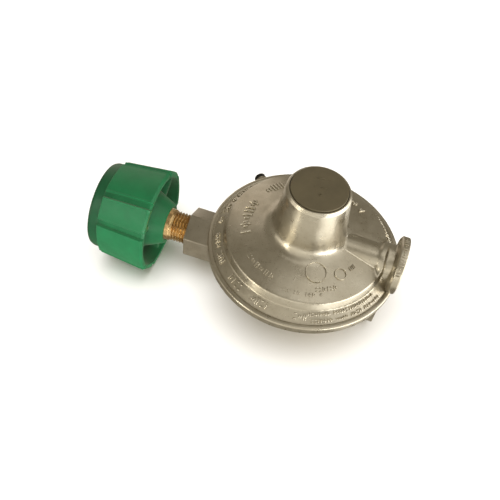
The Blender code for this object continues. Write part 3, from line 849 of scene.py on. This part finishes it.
def build_nipple(finish):
    """Turned nipple with its nose, shoulder, plain shank and pipe thread."""
    front = NIPPLE_LOW[0]
    crest = 6.85
    depth = 0.85
    pitch = 1.41
    thread_end = SHOULDER_X + 18.8
    outside = rounded([
        (4.8, front), (5.8, front, 0.3), (7.2, front + 1.1, 0.4), (7.9, front + 2.9, 0.5),
        (7.9, front + 7.5, 0.4), (11.0, front + 7.5, 0.4), (11.0, SHOULDER_X, 0.4),
        (7.3, SHOULDER_X, 0.5), (7.3, thread_end - 0.6, 0.2), (crest, thread_end),
    ])
    threads = [(crest, x) for x in np.arange(thread_end + 0.1, NIPPLE_HIGH[0] - 0.3, pitch / 12.0)]
    inside = rounded([
        (6.2, NIPPLE_HIGH[0]), (2.8, NIPPLE_HIGH[0]), (2.8, front + 14.5), (4.8, front + 14.5),
        (4.8, front + 0.2),
    ])
    angles = circle(128)
    smooth = dense(outside, 1.0)
    grid = about_x(smooth + threads + inside, angles, AXIS_Z)
    first = len(smooth)
    for row in range(first, first + len(threads)):
        x = grid[row, 0, 0]
        phase = (x / pitch - angles / FULL_TURN) % 1.0
        groove = np.clip(2.0 * np.abs(phase - 0.5) * 1.25 - 0.12, 0.0, 1.0)
        fade = steps_between(x, thread_end, thread_end + 1.2)
        grid[row] = inlet_loop(x, crest - depth * groove * fade, angles)
    nipple = skin("nipple_turning", grid, closed=True, sharp=50.0)
    return place(nipple, finish, "root", "brass", "inlet_nipple")


def build_bushing(finish):
    """Heat-sensitive bushing with softened edges."""
    inner = 7.6
    low, high = limits("thermal_bushing")
    outer = (high[2] - low[2]) / 2.0
    near, far = low[0], high[0]
    middle = (inner + outer) / 2.0
    profile = rounded([
        (middle, near), (outer, near, 0.4), (outer, far, 0.4), (inner, far, 0.4), (inner, near, 0.4),
        (middle, near),
    ])
    bushing = skin("bushing_moulding", about_x(profile[:-1], circle(96), AXIS_Z), closed=True)
    return place(bushing, finish, "bushing", "bushing_plastic", "thermal_bushing")


# ---- coupling nut

NUT_PANELS = ((-2.0, 24.0, 0.7), (43.0, 13.5, 0.25))  # middle and half width in degrees, flatness
NUT_GROOVE_DEPTH = 1.5
NUT_LIP = 0.16  # raised lip along each panel's edges
NUT_RIB_ANGLES = (270.0, 30.0, 150.0)
ACME_PITCH = 5.08


def nut_panel_relief(angles):
    """How far the nut's outside lies under its full radius, panel by panel."""
    degrees = np.degrees(angles)
    relief = np.full_like(degrees, NUT_GROOVE_DEPTH)
    for middle, half, flatness in NUT_PANELS:
        away = np.abs((degrees - middle + 45.0) % 90.0 - 45.0)
        edge = steps_between(away, half - 0.5, half + 1.1)
        flat = flatness * (1.0 - np.clip(away / half, 0.0, 1.0) ** 2)
        lip = NUT_LIP * np.exp(-((away - half + 1.0) / 0.7) ** 2)
        relief = np.minimum(relief, flat - lip + NUT_GROOVE_DEPTH * edge)
    return relief


def nut_outline():
    """The nut's outline (radius, x) in four stretches."""
    front = NUT_FRONT_X
    rear = NUT_HIGH[0] - 0.9
    collar = rounded([(17.3, front), (19.3, front, 0.3), (19.8, front + 1.2, 0.6), (20.0, front + 4.6)])
    panels = rounded([
        (20.0, front + 4.65), (21.7, front + 5.2, 0.5), (23.8, rear - 1.0, 0.4), (23.0, rear, 0.3),
        (22.4, rear),
    ])
    recess = rounded([
        (21.4, rear), (20.9, rear, 0.3), (19.6, rear - 8.0, 0.8), (14.8, rear - 8.0, 0.8),
        (9.2, rear + 4.0, 0.6), (7.7, rear + 4.0, 0.25), (7.7, rear - 9.1),
    ])
    bore = rounded([
        (12.0, rear - 9.1), (12.0, rear - 11.9), (15.9, rear - 11.9, 0.3), (16.3, rear - 12.3),
        (16.3, front + 1.0),
    ])
    return dense(collar, 0.8), dense(panels, 0.8), dense(recess, 0.5), dense(bore, 0.3)


def build_nut(finish):
    """Hand nut: panelled outside, Acme-threaded mouth, cored back with hub and ribs."""
    angles = circle(720)
    collar, panels, recess, bore = nut_outline()
    grid = about_x(collar + panels + recess + bore, angles, AXIS_Z)
    radius = np.hypot(grid[..., 1], grid[..., 2] - AXIS_Z)
    x = grid[..., 0]
    start = len(collar)
    end = start + len(panels)
    rise = steps_between(x[start:end], NUT_FRONT_X + 4.6, NUT_FRONT_X + 5.3)
    radius[start:end] -= nut_panel_relief(angles) * rise
    start = end
    end = start + len(recess)
    rear = NUT_HIGH[0] - 0.9
    for rib in NUT_RIB_ANGLES:
        turned = angles - radians(rib)
        along = radius[start:end] * np.cos(turned)
        across = np.abs(radius[start:end] * np.sin(turned))
        height = (rear - 2.0) - 7.0 * steps_between(across, 1.05, 1.55)
        x[start:end] = np.where(along > 8.2, np.maximum(x[start:end], height), x[start:end])
    start = end
    depth_in = x[start:] - NUT_FRONT_X
    phase = (x[start:] / ACME_PITCH - angles / FULL_TURN) % 1.0
    tooth = np.clip((0.5 - np.abs(phase - 0.5)) * 4.4 - 0.6, 0.0, 1.0)
    fade = steps_between(depth_in, 1.0, 3.2) * (1.0 - steps_between(depth_in, 12.4, 14.6))
    threaded = radius[start:] > 16.2
    radius[start:] -= np.where(threaded, 1.25 * tooth * fade, 0.0)
    grid[..., 1] = radius * np.cos(angles)
    grid[..., 2] = AXIS_Z + radius * np.sin(angles)
    nut = skin("nut_moulding", grid, closed=True, sharp=40.0)
    nut.visible_glossy = False  # no green on the casting, as in the photo
    return place(nut, finish, "nut", "green_plastic", "coupling_nut")


# ---- inner pieces

def coil(radius, wire_r, low, high, turns):
    """Radius, angle and height along a compression spring with closed ends."""
    angles = np.linspace(0.0, turns * FULL_TURN, int(turns * 18) + 1)
    ends = [0.0, 0.9, turns - 0.9, turns]
    levels = [low + wire_r, low + 2.9 * wire_r, high - 2.9 * wire_r, high - wire_r]
    heights = np.interp(angles / FULL_TURN, ends, levels)
    return radius * np.cos(angles), radius * np.sin(angles), heights


def wire_piece(name, points, wire_r):
    """A spring's wire, or a stretch of it."""
    return merged_piece(name, [tube(points, wire_r, 10)])


def build_main_spring(finish):
    """Main spring in two halves that meet at mid-height, where the wire stays still.

    The lower half stays where the frame puts it and the upper half rides on the root.
    """
    wire_r = 0.9
    low, high = limits("main_spring")
    points = np.stack(coil(8.0, wire_r, low[2], high[2], 6.5), -1)
    half = len(points) // 2
    lower = clothe(wire_piece("main_spring_lower", points[:half + 1], wire_r), finish)
    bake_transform(lower)
    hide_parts("main_spring")
    upper = wire_piece("main_spring_upper", points[half:], wire_r)
    place(upper, finish, "root", "spring_steel")
    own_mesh(upper)


def build_small_springs(finish):
    """Relief spring on the stem and excess-flow spring in the nipple's nose."""
    low, high = limits("relief_spring")
    points = np.stack(coil(3.3, 0.45, low[2], high[2], 6.0), -1)
    relief = wire_piece("relief_spring_coil", points, 0.45)
    place(relief, finish, "stem", "spring_steel", "relief_spring")
    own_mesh(relief)

    low, high = limits("excess_flow_spring")
    y, z, x = coil(3.2, 0.3, low[0], high[0], 5.0)
    flow = wire_piece("excess_flow_spring_coil", np.stack([x, y, AXIS_Z + z], -1), 0.3)
    place(flow, finish, "root", "spring_steel", "excess_flow_spring")
    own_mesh(flow)


def build_diaphragm(finish):
    """Diaphragm in two pieces: the rim with its fold, and the centre with a skirt in the fold."""
    low, high = limits("diaphragm")
    top = high[2]
    rim_r = high[0]
    fold_r = 29.2
    bottom = low[2] - 1.7
    thick = 0.45
    wide_r = fold_r + 2.5
    narrow_r = fold_r - 2.5
    rim = rounded([
        (rim_r, top), (wide_r, top, 0.6), (wide_r - thick, top - 0.9),
        (wide_r - thick, bottom + thick, 2.0), (narrow_r + thick, bottom + thick, 2.0),
        (narrow_r + thick, top - 1.1), (narrow_r, top - 1.1), (narrow_r, bottom, 2.4),
        (wide_r, bottom, 2.4), (wide_r, top - 0.9, 0.6), (rim_r, top - 0.9),
    ])
    skirt_r = narrow_r + thick
    centre = rounded([
        (2.3, top - 0.1), (skirt_r + 0.55, top - 0.1, 0.5), (skirt_r + 0.55, bottom + 0.9),
        (skirt_r + 0.1, bottom + 0.9), (skirt_r + 0.1, top - 1.0), (2.3, top - 1.0),
    ])
    for name, profile, body, nodes in (
        ("diaphragm_rim", rim, "root", ()), ("diaphragm_centre", centre, "diaphragm", ("diaphragm",)),
    ):
        piece = skin(name, about_z(profile, circle(160)), closed=True)
        place(piece, finish, body, "rubber", *nodes)


def dress_inner_nodes(finishes):
    """Gives every CAD node that stays its procedural finish, by its slot in the record."""
    slots = {part["node"]: part["material_slot"] for part in frame["record"]["subparts"]}
    for name, piece in frame["nodes"].items():
        finish = finishes[slots[name]]
        if not piece.material_slots:
            piece.data.materials.append(finish)
        for held in piece.material_slots:
            held.material = finish


# ---- stage

def build_floor():
    """Pale table top that touches the nut and the outlet's hexagon, the lowest places."""
    low_nut = Vector((NUT_HIGH[0] - 2.6, 0.0, NUT_LOW[2] - 0.7))
    low_hex = Vector((OUTLET_FACE_X, 0.0, AXIS_Z - OUTLET_HEX_R))
    along = (low_hex - low_nut).normalized()
    across = Vector((0.0, 1.0, 0.0))
    normal = along.cross(across)
    half = 2600.0
    corners = [(-1, -1), (1, -1), (1, 1), (-1, 1)]
    points = [low_nut - normal * 0.05 + along * half * u + across * half * v for u, v in corners]
    floor = mesh_object("table_top", [tuple(p) for p in points], [(0, 1, 2, 3)])
    finish = Finish("table_paper", 0.0, (0.86, 0.85, 0.83), 0.8)
    finish.colour(finish.mix(finish.noise(30.0), (0.86, 0.855, 0.85), (0.88, 0.875, 0.87)))
    finish.bump(finish.noise(400.0), 0.02)
    clothe(floor, finish.material)
    floor.visible_glossy = False  # the metal mirrors the room and its lights instead
    floor.visible_shadow = False
    return floor


STUDIO_CENTRE = Vector((-0.01, 0.0, 0.03))
STUDIO_RADIUS = 1.2
PALE = (1.0, 0.97, 0.90)
CREAM = (1.0, 0.96, 0.86)
AMBER = (1.0, 0.94, 0.80)
PEACH = (1.0, 0.89, 0.79)


def soft_box(name, azimuth, elevation, wide, high, radiance, colour):
    """A flat soft box that fills a stretch of directions with even light."""
    light = bpy.data.lights.new(name, "AREA")
    light.shape = "RECTANGLE"
    light.size = 2.0 * STUDIO_RADIUS * math.tan(radians(wide / 2.0))
    light.size_y = 2.0 * STUDIO_RADIUS * math.tan(radians(high / 2.0))
    light.energy = radiance * math.pi * light.size * light.size_y
    light.color = colour
    made = added(name, light)
    a, e = radians(azimuth), radians(elevation)
    outward = Vector((cos(e) * cos(a), cos(e) * sin(a), sin(e)))
    made.location = STUDIO_CENTRE + outward * STUDIO_RADIUS
    made.rotation_euler = (-outward).to_track_quat("-Z", "Y").to_euler()
    made.visible_camera = False
    return made


def light_group(name, *pieces):
    """A collection of the pieces that some lights are linked to."""
    group = bpy.data.collections.new(name)
    for piece in pieces:
        group.objects.link(piece)
    return group


def build_lights(floor, castings, mouldings):
    """Soft boxes by direction (azimuth from +X towards +Y), the table's light and the room."""
    soft_box("large_right", 2.0, 52.0, 74.0, 62.0, 0.66, PALE)
    soft_box("overhead", -75.0, 83.0, 26.0, 26.0, 0.50, PALE)
    soft_box("low_right", 4.0, 14.0, 80.0, 16.0, 1.25, (1.0, 0.97, 0.91))
    soft_box("low_key", -15.0, 1.0, 76.0, 13.0, 6.0, (1.0, 0.98, 0.93))
    front_strip = soft_box("front_strip", -129.0, 5.0, 9.0, 34.0, 7.0, AMBER)
    soft_box("front_left", -151.0, 6.0, 26.0, 20.0, 1.3, (1.0, 0.94, 0.82))
    soft_box("front", -88.0, 26.0, 54.0, 36.0, 0.66, CREAM)
    soft_box("front_low", -90.0, 0.0, 54.0, 14.0, 1.3, CREAM)
    soft_box("back_left", 123.0, 14.0, 28.0, 64.0, 0.58, PEACH)
    glows = [
        soft_box("right_glow", -4.0, -28.0, 90.0, 44.0, 2.1, (1.0, 0.98, 0.92)),
        soft_box("strip_glow", -129.0, -28.0, 9.0, 30.0, 2.4, AMBER),
        soft_box("front_glow", -88.0, -28.0, 60.0, 40.0, 0.62, CREAM),
        soft_box("left_glow", 124.0, -32.0, 32.0, 28.0, 0.60, PEACH),
    ]
    for glow in glows + [front_strip]:  # what the casting mirrors from beside and below
        glow.light_linking.receiver_collection = castings
    nut_key = soft_box("nut_key", -127.0, 38.0, 24.0, 24.0, 1.9, (1.0, 0.97, 0.92))
    nut_key.light_linking.receiver_collection = mouldings
    table_light = bpy.data.lights.new("table_light", "SUN")
    table_light.energy = 3.0
    table_light.angle = radians(50.0)
    sun = added("table_light", table_light)
    sun.rotation_euler = (radians(8.0), radians(-6.0), 0.0)
    sun.light_linking.receiver_collection = light_group("lit_table", floor)
    build_room()


def build_room():
    """A dim warm room that the metal mirrors, and a pale backdrop for the camera."""
    world = bpy.data.worlds.new("studio")
    world.use_nodes = True
    tree = world.node_tree
    room = tree.nodes["Background"]
    room.inputs["Color"].default_value = (0.30, 0.268, 0.205, 1.0)
    backdrop = tree.nodes.new("ShaderNodeBackground")
    backdrop.inputs["Color"].default_value = (0.96, 0.96, 0.96, 1.0)
    seen = tree.nodes.new("ShaderNodeLightPath").outputs["Is Camera Ray"]
    mix = tree.nodes.new("ShaderNodeMixShader")
    for socket, source in enumerate((seen, room.outputs[0], backdrop.outputs[0])):
        tree.links.new(source, mix.inputs[socket])
    tree.links.new(mix.outputs[0], tree.nodes["World Output"].inputs["Surface"])
    bpy.context.scene.world = world


CAMERA_SPOT = (0.0071, -0.1679, 0.2426)
CAMERA_AZIMUTH = radians(-10.16)  # from +Y towards +X
CAMERA_PITCH = radians(53.23)  # below the horizon
CAMERA_ROLL = radians(9.39)
FOCAL_IN_WIDTHS = 1.2564  # focal length over the picture's width


def build_camera():
    """Camera above and in front, level with the tilted table."""
    camera = added("camera", bpy.data.cameras.new("camera"))
    camera.data.lens = camera.data.sensor_width * FOCAL_IN_WIDTHS
    camera.data.clip_start = 0.005
    forward = Vector((
        sin(CAMERA_AZIMUTH) * cos(CAMERA_PITCH),
        cos(CAMERA_AZIMUTH) * cos(CAMERA_PITCH),
        -sin(CAMERA_PITCH),
    ))
    right = forward.cross(Vector((0.0, 0.0, 1.0))).normalized()
    up = right.cross(forward)
    tilted_right = right * cos(CAMERA_ROLL) + up * sin(CAMERA_ROLL)
    tilted_up = up * cos(CAMERA_ROLL) - right * sin(CAMERA_ROLL)
    turn = Matrix((tilted_right, tilted_up, -forward)).transposed()
    camera.matrix_world = Matrix.Translation(CAMERA_SPOT) @ turn.to_4x4()
    bpy.context.scene.camera = camera


# ---- everything

def make_finishes():
    """One procedural finish for each of the record's material slots."""
    return {
        "zinc_casting": zinc_finish("cast_zinc", (0.49, 0.458, 0.385), 0.30, 0.02),
        "brass": brass_finish(),
        "green_plastic": moulded_finish(
            "green_moulding", (0.010, 0.225, 0.082), 0.38, 0.012, 0.22,
            # start, depth and radius of the painted shade in the nut's recess, bore and collar
            (NUT_HIGH[0] - 1.0, NUT_HIGH[0] - 7.5, 20.7),
        ),
        "dark_plastic": moulded_finish("olive_moulding", (0.150, 0.126, 0.075), 0.50, 0.010, 0.12),
        "spring_steel": steel_finish("drawn_steel", (0.42, 0.43, 0.44), 0.30),
        "plated_steel": steel_finish("plated_steel_finish", (0.58, 0.56, 0.52), 0.32),
        "black_steel": steel_finish("blackened_steel", (0.05, 0.05, 0.05), 0.40),
        "rubber": rubber_finish(),
        "acetal": moulded_finish("acetal_moulding", (0.75, 0.73, 0.66), 0.40, 0.006, 0.05),
        "bushing_plastic": moulded_finish("red_moulding", (0.55, 0.08, 0.05), 0.45, 0.010, 0.10),
    }


def main():
    bpy.context.scene.view_settings.view_transform = "Standard"
    build_camera()
    finishes = make_finishes()
    dress_inner_nodes(finishes)
    zinc = finishes["zinc_casting"]
    # painted highlight: the raised marks and the flange's ticks get a lighter copy of the casting's zinc
    marks_highlight_zinc = zinc_finish("painted_highlight_marks_zinc", (0.62, 0.585, 0.505), 0.26)
    # painted shade: the lower body under the bonnet gets a darker copy of the casting's zinc
    body_shade_zinc = zinc_finish("painted_shade_body_zinc", (0.415, 0.385, 0.325), 0.33, 0.02)
    # painted highlight: a pale zinc for the bead along the ridge's foot
    bead_highlight_zinc = zinc_finish("painted_highlight_bead_zinc", (0.88, 0.85, 0.77), 0.55)
    metal = [build_bonnet(zinc), build_marks(marks_highlight_zinc), build_ridge_bead(bead_highlight_zinc)]
    metal += [build_flange_marks(marks_highlight_zinc), build_body(body_shade_zinc)]
    build_outlet_thread(zinc)
    build_test_plug(finishes["black_steel"])
    build_cap(finishes["dark_plastic"])
    build_cap_marks(finishes["dark_plastic"])
    build_screen(finishes["plated_steel"])
    build_snap_ring(finishes["spring_steel"])
    nipple = build_nipple(finishes["brass"])
    build_bushing(finishes["bushing_plastic"])
    nut = build_nut(finishes["green_plastic"])
    build_main_spring(finishes["spring_steel"])
    build_small_springs(finishes["spring_steel"])
    build_diaphragm(finishes["rubber"])
    castings = light_group("castings", *metal, nipple)
    mouldings = light_group("mouldings", nut)
    build_lights(build_floor(), castings, mouldings)


main()
